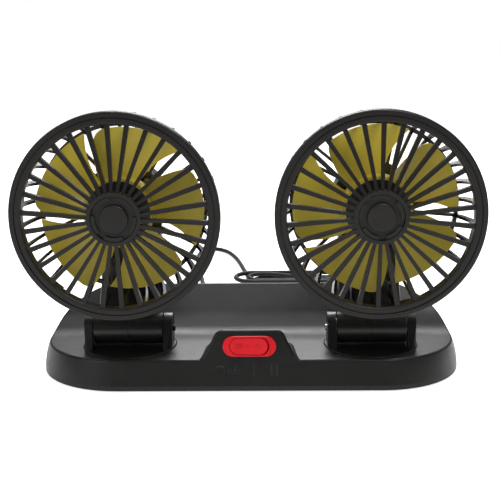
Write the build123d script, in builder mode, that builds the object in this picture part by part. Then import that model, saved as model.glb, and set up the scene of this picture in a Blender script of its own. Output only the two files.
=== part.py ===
from build123d import *

import os
from math import asin, atan2, cos, degrees, radians, sin, tan

# Dual head car fan. +X to the right seen from the front, +Y to the back, +Z up.
# The origin lies on the face that the fan rests on, midway between the two turntable axes.

# Shared sizes
wall = 2.2
half = 0.5
overrun = 1.0
seat_gap = 0.3
running_gap = 0.08
pocket_gap = 0.1
fit_gap = 0.02
near = 0.01
top_angle = 90.0
heads = {"left": -1, "right": 1}

# Base shell
mat_drop = 0.8
base_width = 286.0
base_front = 37.5
base_back = 70.0
band_height = 4.0
front_corner = 57.0
back_corner = 30.0
shoulder_height = 24.0
shoulder_side_inset = 5.5
shoulder_front_inset = 4.6
shoulder_back_inset = 3.0
shoulder_front_corner = 52.0
shoulder_back_corner = 27.0
crown_height = 50.0
crown_side_inset = 34.0
crown_front_inset = 10.5
crown_back_inset = 8.0
crown_front_corner = 30.0
crown_back_corner = 16.0
deck_height = 20.5
ridge_height = 47.0
sweep_start = 18.0
sweep_radius = 36.0
sweep_angle = 45.0
rim_fillet = 1.6

# Switch pod on the front wall
pod_foot_half_width = 30.8
pod_top_half_width = 21.2
pod_end_half_width = 37.0
pod_height = 39.5
pod_proud = 0.1
pod_back = 8.0
pod_tail_height = 1.6
pod_sink = 0.3
pod_corner = 6.0
pod_flare = 8.0
pod_rim_fillet = 1.6
pod_slab = 2.4

# Bosses inside the base
boss_radius = 3.6
boss_places = ((124.0, 12.0), (40.0, 50.0), (42.0, -24.0))
base_screw_radius = 1.4
base_screw_length = 9.0
base_screw_head_radius = 2.7
base_screw_head_height = 1.4

# Bottom cover and mat
cover_thickness = 2.0
mat_thickness = 1.6
mat_side_margin = 30.0
mat_end_margin = 14.0
mat_corner = 12.0

# Turntables
head_spacing = 162.8
turntable_radius = 31.15
turntable_proud = 0.5
well_gap = 0.5
well_floor = 17.2
turntable_chamfer = 0.4
spindle_radius = 8.9
spindle_bore = 5.5
spindle_roof = 1.5
spindle_length = 5.9
collar_radius = 13.0
retainer_radius = 14.0
retainer_thickness = 1.5
retainer_screw_circle = 7.2
retainer_screw_count = 3
retainer_screw_radius = 0.9
retainer_screw_head_radius = 1.6
retainer_screw_head_height = 1.2
retainer_screw_length = 5.0

# Tilt hinge
hinge_height = 32.0
barrel_radius = 10.5
barrel_half_length = 22.9
washer_thickness = 0.5
washer_radius = 6.5
ear_thickness = 5.7
ear_foot_half_width = 16.0
bolt_radius = 2.0
bolt_head_radius = 3.6
bolt_head_height = 2.0
bolt_socket_flats = 3.0
bolt_socket_depth = 1.2
bolt_end_proud = 1.4
nut_flats = 7.0
nut_height = 2.6

# Fan axis and cage
fan_height = 117.3
cage_radius = 65.0
spoke_count = 30
guard_turn = {"left": 2.5, "right": -0.8}

# Front guard, measured forward of the turntable axis
guard_rear = 43.2
guard_front = 50.6
guard_ring_inner = 57.3
guard_groove_radius = 61.3
guard_groove_width = 0.9
guard_groove_depth = 0.9
guard_edge = 1.2
guard_seat = 0.2
spoke_depth = 3.4
spoke_outer_width = 3.0
spoke_hub_width = 2.0
spoke_ring_front = 49.4
spoke_hub_front = 53.0
hub_ring_radius = 16.6
hub_ring_inner = 14.3
hub_ring_front = 53.8
hub_ring_depth = 6.1
hub_lip_inner = 11.8
hub_lip_depth = 1.2
spoke_dome = 0.6
clip_count = 6
clip_width = 7.0
clip_thickness = 1.2
clip_hook = 0.9

# Hub cap
cap_radius = 13.95
cap_depth = 4.0
cap_front = 53.2
cap_floor_depth = 2.4
cap_collar_width = 2.4
cap_notch_count = 5
cap_notch_width = 4.6
cap_button_radius = 8.9
cap_button_front = 54.2
cap_button_fillet = 1.0
cap_turn = {"left": 88.0, "right": 128.7}

# Rear guard
rim_outer = 64.2
rim_inner = 59.2
rim_depth = 3.4
rib_thickness = 1.9
rib_sweep = 9.0
rib_turn = 6.0
rib_side_radius = 63.6
rib_belly_radius = 63.3
rib_belly_front = 26.0
rib_shoulder_radius = 58.8
rib_shoulder_front = 11.0
rib_back_radius = 51.0
rib_back_front = 3.0
rib_root_radius = 25.0
rib_root_front = -0.5
rib_side_depth = 4.2
rib_back_depth = 3.4
back_ring_radius = 53.6
back_ring_width = 2.6
back_ring_front = 7.4
back_ring_depth = 3.0
plate_radius = 27.5
plate_front = 2.0
plate_rear = -1.5
plate_lip_width = 2.0
plate_lip_height = 1.6
guard_screw_circle = 21.4
guard_screw_count = 4
guard_screw_radius = 1.2
guard_screw_length = 8.0
guard_screw_head_radius = 2.3
guard_screw_head_height = 1.5
guard_screw_turn = 45.0

# Rotor, with its axial places measured forward of the turntable axis
rotor_middle = 24.6
rotor_tip_radius = 53.2
rotor_hub_radius = 20.2
rotor_hub_depth = 18.0
rotor_cover = 1.0
rotor_hub_wall = 1.6
rotor_hub_dome = 1.5
rotor_boss_radius = 4.0
rotor_boss_inset = 3.0
sleeve_thickness = 1.8
blade_count = 5
blade_thickness = 1.5
blade_root_station = 17.0
blade_middle_station = 38.0
blade_root_middle = 89.5
blade_middle_middle = 83.0
blade_tip_middle = 75.2
blade_root_chord = 34.0
blade_middle_chord = 58.0
blade_tip_chord = 84.0
blade_root_pitch = 34.0
blade_middle_pitch = 24.0
blade_tip_pitch = 17.0
blade_camber_share = 0.07
blade_tip_lead_angle = 45.0
blade_tip_trail_angle = 105.4
blade_root_lead_angle = 57.0
blade_root_trail_angle = 121.0
blade_lead_waist_angle = 53.0
blade_trail_waist_angle = 113.0
blade_corner = 7.5
rotor_turn = {"left": -1.9, "right": 22.0}

# Motor and shaft
motor_radius = 17.0
motor_length = 28.0
motor_front = -1.7
motor_edge = 1.5
motor_boss_radius = 5.0
motor_boss_length = 2.6
motor_end_radius = 6.0
motor_end_length = 1.6
shaft_radius = 1.15
shaft_rear = -28.0
shaft_chamfer_share = 0.25
tab_width = 2.6
tab_height = 2.0
tab_thickness = 0.5
tab_place = 9.0

# Neck and motor housing, two half shells that meet in the head's middle plane
arm_half_width = 21.0
arm_front = 17.0
arm_rear = 33.0
arm_bend_front = 62.0
arm_bend_rear = 55.0
arm_foot_front = 2.0
arm_foot_top = 40.0
arm_foot_rear = 6.0
arm_foot_bottom = 26.0
arm_top_front = 100.0
arm_top_rear = 104.0
arm_front_fillet = 14.0
arm_rear_fillet = 20.0
arm_edge_fillet = 3.5
housing_radius = 25.5
housing_rear = -36.0
housing_edge = 7.0
pocket_radius = 17.2
pocket_rear = -32.0
wire_way = 5.0
neck_seam = 0.2
neck_screw_places = ((19.0, 52.0), (25.0, 82.0))
neck_screw_radius = 1.3
neck_screw_head_radius = 2.5
neck_screw_head_height = 1.6
neck_screw_length = 16.0
neck_screw_sink = 12.0
neck_boss_radius = 4.5
wire_way_place = 2.6

# Switch, measured on the pod's leaning face
switch_height = 29.2
bezel_half_width = 17.3
bezel_half_height = 6.7
bezel_proud = 1.4
bezel_edge = 0.5
opening_half_width = 12.9
opening_half_height = 5.6
sleeve_wall = 0.6
sleeve_depth = 9.0
cutout_gap = 0.15
rocker_half_width = 12.1
rocker_half_height = 5.2
rocker_foot_half_width = 11.3
rocker_proud = 2.6
rocker_depth = 4.0
rocker_pivot_depth = 2.0
rocker_tilt = 7.0
rocker_dip = 0.7
rocker_pin_radius = 0.9
switch_body_width = 22.0
switch_body_height = 8.4
switch_body_depth = 6.0
switch_tab_pitch = 7.0

# Circuit board and inner wires
board_width = 46.0
board_depth = 30.0
board_thickness = 1.6
board_front = 4.0
board_height = 9.0
board_post_radius = 2.2
board_post_margin = 4.0
chip_width = 8.0
chip_depth = 6.0
chip_height = 1.6
coil_radius = 4.0
coil_height = 5.0
can_radius = 2.5
can_height = 6.5

# Cord, its strain relief and its plug
cord_diameter = 4.0
relief_x = -34.0
relief_height = 9.0
relief_flange_radius = 6.0
relief_flange_thickness = 1.6
relief_neck_radius = 4.0
relief_hole_gap = 0.1
relief_tail_length = 18.0
relief_tail_root = 3.8
relief_tail_tip = 2.5
relief_inner_length = 5.0
relief_face = 70.2
relief_wall_depth = 3.2
cord_rest = 2.05
cord_bend_share = 0.45
cord_route = (
    (-34.0, 89.8, 9.0),
    (-34.0, 102.0, 9.0),
    (-35.0, 124.0, 3.4),
    (-38.0, 155.0, 2.05),
    (-42.0, 195.0, 2.05),
    (-47.5, 240.0, 2.05),
    (-53.0, 284.0, 2.05),
    (-57.0, 322.0, 2.05),
    (-58.0, 348.0, 2.05),
    (-53.5, 368.0, 2.05),
    (-42.5, 376.5, 2.05),
    (-28.5, 362.0, 2.05),
    (-20.0, 336.0, 2.05),
    (-14.0, 307.0, 2.05),
    (-10.0, 280.0, 2.05),
    (-5.5, 256.0, 2.05),
    (-5.5, 242.0, 2.05),
)

# Hank of cord behind the base
hank_turn_radius = 19.0
hank_pitch = 4.7
hank_layer = 4.6
hank_left = 13.5
hank_right = 68.0
hank_middle = 238.0
hank_layer_loops = 2
hank_reaches = (6.0, 0.0, -6.0, -6.0, 0.0, -13.5)
hank_end_drop = 30.0
hank_gap_samples = 700

# Plug at the cord's end
plug_relief_length = 12.0
plug_relief_root = 3.3
plug_relief_tip = 2.6
plug_tongue_gap = 0.3
plug_tongue_inset = 1.0
plug_body_length = 20.0
plug_body_width = 15.0
plug_body_height = 7.6
plug_body_corner = 2.0
plug_shell_length = 18.0
plug_shell_width = 12.0
plug_shell_height = 4.5
plug_shell_wall = 0.3
plug_tongue_height = 1.9
plug_window = 2.4
plug_window_place = 6.0

# Worked out from the sizes above
turntable_top = deck_height + turntable_proud
turntable_bottom = well_floor + seat_gap
well_radius = turntable_radius + well_gap
ear_inner = barrel_half_length + seat_gap + washer_thickness
ear_outer = ear_inner + ear_thickness
cover_bottom = mat_thickness
cover_top = cover_bottom + cover_thickness
front_lean = degrees(atan2(shoulder_front_inset, shoulder_height - band_height))
spindle_end = turntable_bottom - spindle_length
collar_bottom = spindle_end + seat_gap
bolt_head_seat = ear_outer - seat_gap - bolt_head_height
neck_screw_seat = arm_half_width - neck_screw_sink
rim_front = guard_rear - guard_seat
clip_outer = rim_inner - pocket_gap
clip_end = rim_front - rim_depth - pocket_gap - clip_hook
spoke_inner = (hub_ring_inner + hub_ring_radius) * half
spoke_outer = guard_ring_inner + overrun
rotor_rear = rotor_middle - rotor_hub_depth * half
rotor_front = rotor_middle + rotor_hub_depth * half
shaft_front = rotor_front - rotor_cover
rocker_swing = rocker_foot_half_width * sin(radians(rocker_tilt))
switch_body_front = rocker_depth + rocker_swing + seat_gap
relief_end = relief_face + relief_flange_thickness + relief_tail_length
plug_height = plug_body_height * half


def front_wall_y(height):
    """Place of the front wall's outer face at a height."""
    return -base_front + (height - band_height) * tan(radians(front_lean))


def save(part, name):
    """Gives a piece its name and writes it."""
    part.label = name
    export_step(part, "parts/" + name + ".step")


def head_x(head):
    """Place across of a head's axes."""
    return heads[head] * head_spacing * half


def fan_plane(head, forward=0):
    """Plane across a fan axis that faces forward."""
    return Plane(origin=(head_x(head), -forward, fan_height), x_dir=(1, 0, 0), z_dir=(0, -1, 0))


def profile_plane(head):
    """Plane for turned profiles: local x is the radius, local y is the distance forward."""
    return Plane(origin=(head_x(head), 0, fan_height), x_dir=(1, 0, 0), z_dir=(0, 0, -1))


def fan_axis(head):
    """Axis that a fan turns about."""
    return Axis((head_x(head), 0, fan_height), (0, -1, 0))


def across_plane(head, outward):
    """Plane square to a head's tilt axis, at a distance outward from the head's middle."""
    return Plane.YZ.offset(head_x(head) + heads[head] * outward)


def switch_plane(proud=0):
    """Plane on the pod's leaning face, facing out of it."""
    lean = radians(front_lean)
    face = Plane(
        origin=(0, front_wall_y(switch_height) - pod_proud, switch_height),
        x_dir=(1, 0, 0),
        z_dir=(0, -cos(lean), sin(lean)),
    )
    return face.offset(proud)


def pod_back_plane():
    """Upright plane where the pod runs out into the deck."""
    return Plane(origin=(0, pod_back, 0), x_dir=(1, 0, 0), z_dir=(0, -1, 0))


def polar(radius, angle):
    """Point at a radius and an angle."""
    return (radius * cos(radians(angle)), radius * sin(radians(angle)))


def outline_at(height, half_width, front, back, front_radius, back_radius):
    """Base outline at a height: a rectangle with round corners, larger ones in front."""
    with BuildSketch(Plane.XY.offset(height)) as outline:
        with Locations((0, (back - front) * half)):
            Rectangle(2 * half_width, front + back)
        fillet(outline.vertices().group_by(Axis.Y)[0], front_radius)
        fillet(outline.vertices().group_by(Axis.Y)[-1], back_radius)
    return outline.sketch


def base_sections(inset):
    """The base's outlines from the band up, taken in by a wall."""
    rows = (
        (band_height, 0, 0, 0, front_corner, back_corner),
        (
            shoulder_height,
            shoulder_side_inset,
            shoulder_front_inset,
            shoulder_back_inset,
            shoulder_front_corner,
            shoulder_back_corner,
        ),
        (
            crown_height,
            crown_side_inset,
            crown_front_inset,
            crown_back_inset,
            crown_front_corner,
            crown_back_corner,
        ),
    )
    return [
        outline_at(
            height,
            base_width * half - side - inset,
            base_front - front - inset,
            base_back - back - inset,
            front_round - inset,
            back_round - inset,
        )
        for height, side, front, back, front_round, back_round in rows
    ]


def deck_profile(inset):
    """Side view of everything under the deck, the sweep and the ridge."""
    deck = deck_height - inset
    ridge = ridge_height - inset
    far = base_back + overrun
    with BuildSketch(Plane.YZ.offset(-base_width)) as profile:
        with BuildLine():
            flat = Line((-base_front - overrun, deck), (sweep_start, deck))
            sweep = TangentArc(
                flat @ 1,
                (
                    sweep_start + (sweep_radius + inset) * sin(radians(sweep_angle)),
                    deck + (sweep_radius + inset) * (1 - cos(radians(sweep_angle))),
                ),
                tangent=flat % 1,
            )
            rise = ridge - (sweep @ 1).Y
            slope = Line(sweep @ 1, sweep @ 1 + Vector(rise / tan(radians(sweep_angle)), rise))
            top = Line(slope @ 1, (far, ridge))
            Polyline(top @ 1, (far, -overrun), (-base_front - overrun, -overrun), flat @ 0)
        make_face()
    return profile.sketch


def base_block(inset, bottom):
    """The base's outer body, or with an inset the room inside its walls."""
    sections = base_sections(inset)
    with BuildPart() as block:
        loft(sections)
        extrude(sections[0], amount=-(band_height - bottom))
        extrude(deck_profile(inset), amount=2 * base_width, mode=Mode.INTERSECT)
    return block.part


def rounded_base_block():
    """The base's outer body with its upper rim rounded."""
    with BuildPart() as block:
        add(base_block(0, mat_drop))
        upper = block.faces().filter_by(lambda face: face.normal_at(face.center()).Z > half)
        rim = [
            edge
            for edge in upper.edges()
            if sum(edge in face.edges() for face in upper) == 1
        ]
        fillet(rim, rim_fillet)
    return block.part


def pod_outline(plane, low, top):
    """Pod's outline on a plane: flat top, round corners and a flare that runs out into the deck."""
    foot = low - pod_rim_fillet - wall
    with BuildSketch(plane) as outline:
        with BuildLine():
            crest = FilletPolyline(
                (-pod_end_half_width, low),
                (-pod_foot_half_width, low),
                (-pod_top_half_width, top),
                (pod_top_half_width, top),
                (pod_foot_half_width, low),
                (pod_end_half_width, low),
                radius=[pod_flare, pod_corner, pod_corner, pod_flare],
            )
            Polyline(crest @ 1, (pod_end_half_width, foot), (-pod_end_half_width, foot), crest @ 0)
        make_face()
    return outline.sketch


def pod_block():
    """The switch pod's outer body: a slab with a rounded rim behind its leaning face, drawn down to the deck."""
    lean = cos(radians(front_lean))
    low = deck_height - pod_sink
    foot = (low - switch_height) / lean
    crest = (pod_height - switch_height) / lean
    with BuildPart() as pod:
        extrude(pod_outline(switch_plane(), foot, crest), amount=-pod_slab)
        front = pod.faces().sort_by(Axis(switch_plane().origin, switch_plane().z_dir))[-1]
        fillet(front.edges().filter_by(lambda edge: edge.center().Z > low + wall * half), pod_rim_fillet)
        tail_top = deck_height - wall + pod_tail_height
        tail = pod_outline(pod_back_plane(), deck_height - wall, tail_top)
        loft([pod_outline(switch_plane(-pod_slab), foot, crest), tail])
    return pod.part


def pod_room():
    """The room inside the pod's walls."""
    lean = cos(radians(front_lean))
    drop = pod_height - deck_height + wall - pod_tail_height
    slope = atan2(drop, pod_back - front_wall_y(pod_height))
    side = wall / sin(atan2(pod_height - deck_height, pod_foot_half_width - pod_top_half_width))
    roof = wall / cos(slope)
    low = deck_height - pod_sink - roof
    top = pod_height - roof - wall * tan(slope)
    rows = (
        (switch_plane(-wall), (low - switch_height) / lean, (top - switch_height) / lean),
        (pod_back_plane(), low - wall, deck_height - wall + pod_tail_height - roof),
    )
    with BuildPart() as room:
        for plane, foot, crest in rows:
            with BuildSketch(plane):
                with BuildLine():
                    Polyline(
                        (-pod_foot_half_width + side, foot),
                        (pod_foot_half_width - side, foot),
                        (pod_top_half_width - side, crest),
                        (-pod_top_half_width + side, crest),
                        close=True,
                    )
                make_face()
        loft()
    return room.part


def base_supports():
    """Well cups, spindle collars and screw bosses, as high as the shell above them."""
    places = [(side * across, along) for across, along in boss_places for side in (-1, 1)]
    with BuildPart() as supports:
        for head in heads:
            with BuildSketch(Plane.XY.offset(well_floor - wall)):
                with Locations((head_x(head), 0)):
                    Circle(well_radius + wall)
            extrude(amount=ridge_height)
            with BuildSketch(Plane.XY.offset(collar_bottom)):
                with Locations((head_x(head), 0)):
                    Circle(collar_radius)
            extrude(amount=well_floor - collar_bottom)
        with BuildSketch(Plane.XY.offset(cover_top)):
            with Locations(*places):
                Circle(boss_radius)
        extrude(amount=ridge_height)
        add(base_block(wall * half, 0), mode=Mode.INTERSECT)
        with BuildSketch(Plane.XY.offset(cover_top)):
            with Locations(*places):
                Circle(base_screw_radius + fit_gap)
        extrude(amount=base_screw_length, mode=Mode.SUBTRACT)
    return supports.part


def make_base_shell():
    """Hollow upper shell with two wells, screw bosses and the switch pod."""
    with BuildPart() as base_shell:
        add(rounded_base_block())
        add(pod_block())
        add(base_block(wall, mat_drop - overrun), mode=Mode.SUBTRACT)
        add(pod_room(), mode=Mode.SUBTRACT)
        add(base_supports())
        for head in heads:
            with BuildSketch(Plane.XY.offset(well_floor)):
                with Locations((head_x(head), 0)):
                    Circle(well_radius)
            extrude(amount=ridge_height, mode=Mode.SUBTRACT)
            with BuildSketch(Plane.XY.offset(collar_bottom - overrun)):
                with Locations((head_x(head), 0)):
                    Circle(spindle_radius + running_gap)
            extrude(amount=ridge_height, mode=Mode.SUBTRACT)
        with BuildSketch(switch_plane(overrun)):
            SlotOverall(
                2 * (opening_half_width + sleeve_wall + cutout_gap),
                2 * (opening_half_height + sleeve_wall + cutout_gap),
            )
        extrude(amount=-(sleeve_depth + overrun), mode=Mode.SUBTRACT)
        with BuildSketch(Plane.XZ.offset(-base_back - overrun)):
            with Locations((relief_x, relief_height)):
                Circle(relief_neck_radius + relief_hole_gap)
        extrude(amount=shoulder_back_inset + 2 * wall, mode=Mode.SUBTRACT)
    save(base_shell.part, "base_shell")


def make_bottom_cover():
    """Flat cover inside the shell's lower edge, with posts for the circuit board."""
    places = [(side * across, along) for across, along in boss_places for side in (-1, 1)]
    edge = wall + seat_gap
    with BuildPart() as bottom_cover:
        outline = outline_at(
            cover_bottom,
            base_width * half - edge,
            base_front - edge,
            base_back - edge,
            front_corner - edge,
            back_corner - edge,
        )
        extrude(outline, amount=cover_thickness)
        with BuildSketch(Plane.XY.offset(cover_top)):
            with Locations((0, board_front + board_depth * half)):
                with GridLocations(
                    board_width - 2 * board_post_margin, board_depth - 2 * board_post_margin, 2, 2
                ):
                    Circle(board_post_radius)
        extrude(amount=board_height - cover_top)
        with BuildSketch(Plane.XY.offset(cover_bottom)):
            with Locations(*places):
                Circle(base_screw_radius + fit_gap)
        extrude(amount=cover_thickness, mode=Mode.SUBTRACT)
        with BuildSketch(Plane.XY.offset(cover_bottom)):
            with Locations(*places):
                Circle(base_screw_head_radius + pocket_gap)
        extrude(amount=base_screw_head_height, mode=Mode.SUBTRACT)
    save(bottom_cover.part, "bottom_cover")


def make_base_screws():
    """Six screws that hold the cover, their heads level with its underside."""
    places = [(side * across, along) for across, along in boss_places for side in (-1, 1)]
    with BuildPart() as base_screws:
        with BuildSketch(Plane.XY.offset(cover_bottom)):
            with Locations(*places):
                Circle(base_screw_head_radius)
        extrude(amount=base_screw_head_height)
        with BuildSketch(Plane.XY.offset(cover_bottom)):
            with Locations(*places):
                Circle(base_screw_radius)
        extrude(amount=base_screw_length)
    save(base_screws.part, "base_screws")


def make_non_slip_mat():
    """Soft pad that the fan rests on."""
    with BuildPart() as non_slip_mat:
        outline = outline_at(
            0,
            base_width * half - mat_side_margin,
            base_front - mat_end_margin,
            base_back - mat_end_margin,
            mat_corner,
            mat_corner,
        )
        extrude(outline, amount=mat_thickness)
    save(non_slip_mat.part, "non_slip_mat")


def make_turntable(head):
    """Disc with a spindle below and two ears that hold the tilt bolt."""
    middle = (head_x(head), 0)
    with BuildPart() as ears:
        for outward in (-ear_outer, ear_inner):
            with BuildSketch(across_plane(head, outward)):
                with Locations((0, hinge_height)):
                    Circle(barrel_radius)
                with Locations((0, turntable_top)):
                    Rectangle(
                        2 * ear_foot_half_width,
                        turntable_top - turntable_bottom,
                        align=(Align.CENTER, Align.MAX),
                    )
                make_hull()
            extrude(amount=heads[head] * ear_thickness)
        with BuildSketch(Plane.XY.offset(turntable_bottom)):
            with Locations(middle):
                Circle(turntable_radius - turntable_chamfer)
        extrude(amount=hinge_height + barrel_radius, mode=Mode.INTERSECT)
    with BuildPart() as turntable:
        with BuildSketch(Plane.XY.offset(turntable_bottom)):
            with Locations(middle):
                Circle(turntable_radius)
        extrude(amount=turntable_top - turntable_bottom)
        chamfer(turntable.edges().group_by(Axis.Z)[-1], turntable_chamfer)
        with BuildSketch(Plane.XY.offset(turntable_bottom - spindle_length)):
            with Locations(middle):
                Circle(spindle_radius)
        extrude(amount=spindle_length)
        add(ears.part)
        with BuildSketch(Plane.XY.offset(turntable_bottom - spindle_length)):
            with Locations(middle):
                Circle(spindle_bore)
        extrude(
            amount=spindle_length + turntable_top - turntable_bottom - spindle_roof, mode=Mode.SUBTRACT
        )
        with BuildSketch(Plane.XY.offset(turntable_bottom)):
            with Locations((head_x(head), wire_way_place)):
                Circle(wire_way * half)
        extrude(amount=turntable_top, mode=Mode.SUBTRACT)
        with BuildSketch(Plane.XY.offset(turntable_bottom - spindle_length)):
            with Locations(middle):
                with PolarLocations(retainer_screw_circle, retainer_screw_count):
                    Circle(retainer_screw_radius + fit_gap)
        extrude(amount=retainer_screw_length - retainer_thickness, mode=Mode.SUBTRACT)
        with BuildSketch(across_plane(head, -ear_outer - overrun)):
            with Locations((0, hinge_height)):
                Circle(bolt_radius + running_gap)
        extrude(amount=heads[head] * 2 * (ear_outer + overrun), mode=Mode.SUBTRACT)
        with BuildSketch(across_plane(head, bolt_head_seat)):
            with Locations((0, hinge_height)):
                Circle(bolt_head_radius + pocket_gap)
        extrude(amount=heads[head] * ear_thickness, mode=Mode.SUBTRACT)
        with BuildSketch(across_plane(head, nut_height - ear_outer)):
            with Locations((0, hinge_height)):
                RegularPolygon(nut_flats * half + pocket_gap, 6, major_radius=False)
        extrude(amount=-heads[head] * ear_thickness, mode=Mode.SUBTRACT)
    save(turntable.part, head + "_turntable")


def make_turntable_retainer(head):
    """Ring under the well that keeps the turntable down, with its three screws."""
    middle = (head_x(head), 0)
    with BuildPart() as retainer:
        with BuildSketch(Plane.XY.offset(spindle_end - retainer_thickness)):
            with Locations(middle):
                Circle(retainer_radius)
                Circle(spindle_bore, mode=Mode.SUBTRACT)
                with PolarLocations(retainer_screw_circle, retainer_screw_count):
                    Circle(retainer_screw_radius + fit_gap, mode=Mode.SUBTRACT)
        extrude(amount=retainer_thickness)
    save(retainer.part, head + "_turntable_retainer")
    with BuildPart() as screws:
        with BuildSketch(Plane.XY.offset(spindle_end - retainer_thickness)):
            with Locations(middle):
                with PolarLocations(retainer_screw_circle, retainer_screw_count):
                    Circle(retainer_screw_radius)
        extrude(amount=retainer_screw_length)
        with BuildSketch(Plane.XY.offset(spindle_end - retainer_thickness)):
            with Locations(middle):
                with PolarLocations(retainer_screw_circle, retainer_screw_count):
                    Circle(retainer_screw_head_radius)
        extrude(amount=-retainer_screw_head_height)
    save(screws.part, head + "_retainer_screws")


def make_tilt_hardware(head):
    """Tilt bolt, its nut and the two friction washers beside the barrel."""
    out = heads[head]
    with BuildPart() as bolt:
        with BuildSketch(across_plane(head, -ear_outer - bolt_end_proud)):
            with Locations((0, hinge_height)):
                Circle(bolt_radius)
        extrude(amount=out * (bolt_head_seat + ear_outer + bolt_end_proud))
        with BuildSketch(across_plane(head, bolt_head_seat)):
            with Locations((0, hinge_height)):
                Circle(bolt_head_radius)
        extrude(amount=out * bolt_head_height)
        with BuildSketch(across_plane(head, bolt_head_seat + bolt_head_height - bolt_socket_depth)):
            with Locations((0, hinge_height)):
                RegularPolygon(bolt_socket_flats * half, 6, major_radius=False)
        extrude(amount=out * bolt_socket_depth, mode=Mode.SUBTRACT)
    save(bolt.part, head + "_tilt_bolt")
    with BuildPart() as nut:
        with BuildSketch(across_plane(head, -ear_outer)):
            with Locations((0, hinge_height)):
                RegularPolygon(nut_flats * half, 6, major_radius=False)
                Circle(bolt_radius + fit_gap, mode=Mode.SUBTRACT)
        extrude(amount=out * nut_height)
    save(nut.part, head + "_tilt_nut")
    with BuildPart() as washers:
        for outward in (ear_inner - washer_thickness, -ear_inner):
            with BuildSketch(across_plane(head, outward)):
                with Locations((0, hinge_height)):
                    Circle(washer_radius)
                    Circle(bolt_radius + running_gap, mode=Mode.SUBTRACT)
            extrude(amount=out * washer_thickness)
    save(washers.part, head + "_tilt_washers")


def arm_outline(head, outward, inset):
    """Side view of the neck's arm, taken in by a wall."""
    with BuildSketch(across_plane(head, outward)) as outline:
        with BuildLine():
            front = FilletPolyline(
                (-arm_foot_front, arm_foot_top),
                (arm_front, arm_bend_front),
                (arm_front, arm_top_front),
                radius=arm_front_fillet,
            )
            rear = FilletPolyline(
                (arm_rear, arm_top_rear),
                (arm_rear, arm_bend_rear),
                (arm_foot_rear, arm_foot_bottom),
                radius=arm_rear_fillet,
            )
            Line(front @ 1, rear @ 0)
            Line(rear @ 1, front @ 0)
        make_face()
        if inset:
            offset(amount=-inset, kind=Kind.INTERSECTION)
    return outline.sketch


def neck_screw_cuts(head):
    """Room for the two screws that clamp the halves: shank holes and deep head holes."""
    out = heads[head]
    with BuildPart() as cuts:
        with BuildSketch(across_plane(head, -neck_screw_seat)):
            with Locations(*neck_screw_places):
                Circle(neck_screw_radius + fit_gap)
        extrude(amount=out * neck_screw_length)
        with BuildSketch(across_plane(head, -neck_screw_seat)):
            with Locations(*neck_screw_places):
                Circle(neck_screw_head_radius + pocket_gap)
        extrude(amount=-out * (neck_screw_sink + overrun))
    return cuts.part


def make_neck(head):
    """Arm, hinge barrel and motor housing, parted in the head's middle plane."""
    out = heads[head]
    middle = head_x(head)
    with BuildPart() as neck:
        extrude(arm_outline(head, -arm_half_width, 0), amount=out * 2 * arm_half_width)
        fillet(
            neck.edges().filter_by(lambda edge: abs(edge.center().X - middle) > arm_half_width - near),
            arm_edge_fillet,
        )
        extrude(
            arm_outline(head, wall - arm_half_width, wall),
            amount=out * 2 * (arm_half_width - wall),
            mode=Mode.SUBTRACT,
        )
        with BuildSketch(across_plane(head, wall * half - arm_half_width)):
            with Locations(*neck_screw_places):
                Circle(neck_boss_radius)
        extrude(amount=out * (2 * arm_half_width - wall))
        with BuildSketch(across_plane(head, -barrel_half_length)):
            with Locations((0, hinge_height)):
                Circle(barrel_radius)
        extrude(amount=out * 2 * barrel_half_length)
        with BuildSketch(profile_plane(head)):
            with BuildLine():
                shoulder = FilletPolyline(
                    (0, housing_rear),
                    (housing_radius, housing_rear),
                    (housing_radius, plate_rear),
                    radius=housing_edge,
                )
                Polyline(shoulder @ 1, (0, plate_rear), shoulder @ 0)
            make_face()
        revolve(axis=fan_axis(head))
        with BuildSketch(fan_plane(head, pocket_rear)):
            Circle(pocket_radius)
        extrude(amount=plate_rear - pocket_rear, mode=Mode.SUBTRACT)
        with BuildSketch(fan_plane(head, plate_rear)):
            with PolarLocations(guard_screw_circle, guard_screw_count, start_angle=guard_screw_turn):
                Circle(guard_screw_radius + fit_gap)
        extrude(amount=-guard_screw_length, mode=Mode.SUBTRACT)
        with BuildSketch(across_plane(head, -barrel_half_length - overrun)):
            with Locations((0, hinge_height)):
                Circle(bolt_radius + running_gap)
        extrude(amount=out * 2 * (barrel_half_length + overrun), mode=Mode.SUBTRACT)
        with BuildSketch(Plane.XY.offset(arm_top_front - wall - overrun)):
            with Locations((middle, (arm_front + arm_rear) * half)):
                Circle(wire_way * half)
        extrude(amount=fan_height - arm_top_front, mode=Mode.SUBTRACT)
        with BuildSketch(Plane.XY.offset(turntable_top)):
            with Locations((middle, wire_way_place)):
                Circle(wire_way * half)
        extrude(amount=arm_foot_top + wall - turntable_top, mode=Mode.SUBTRACT)
        add(neck_screw_cuts(head), mode=Mode.SUBTRACT)
    for half_name, side in (("inner", -out), ("outer", out)):
        with BuildPart() as neck_half:
            add(neck.part)
            split(
                bisect_by=Plane.YZ.offset(middle + side * neck_seam * half),
                keep=Keep.TOP if side > 0 else Keep.BOTTOM,
            )
        save(neck_half.part, head + "_neck_" + half_name + "_half")
    with BuildPart() as screws:
        with BuildSketch(across_plane(head, -neck_screw_seat)):
            with Locations(*neck_screw_places):
                Circle(neck_screw_radius)
        extrude(amount=out * neck_screw_length)
        with BuildSketch(across_plane(head, -neck_screw_seat)):
            with Locations(*neck_screw_places):
                Circle(neck_screw_head_radius)
        extrude(amount=-out * neck_screw_head_height)
    save(screws.part, head + "_neck_screws")


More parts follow.
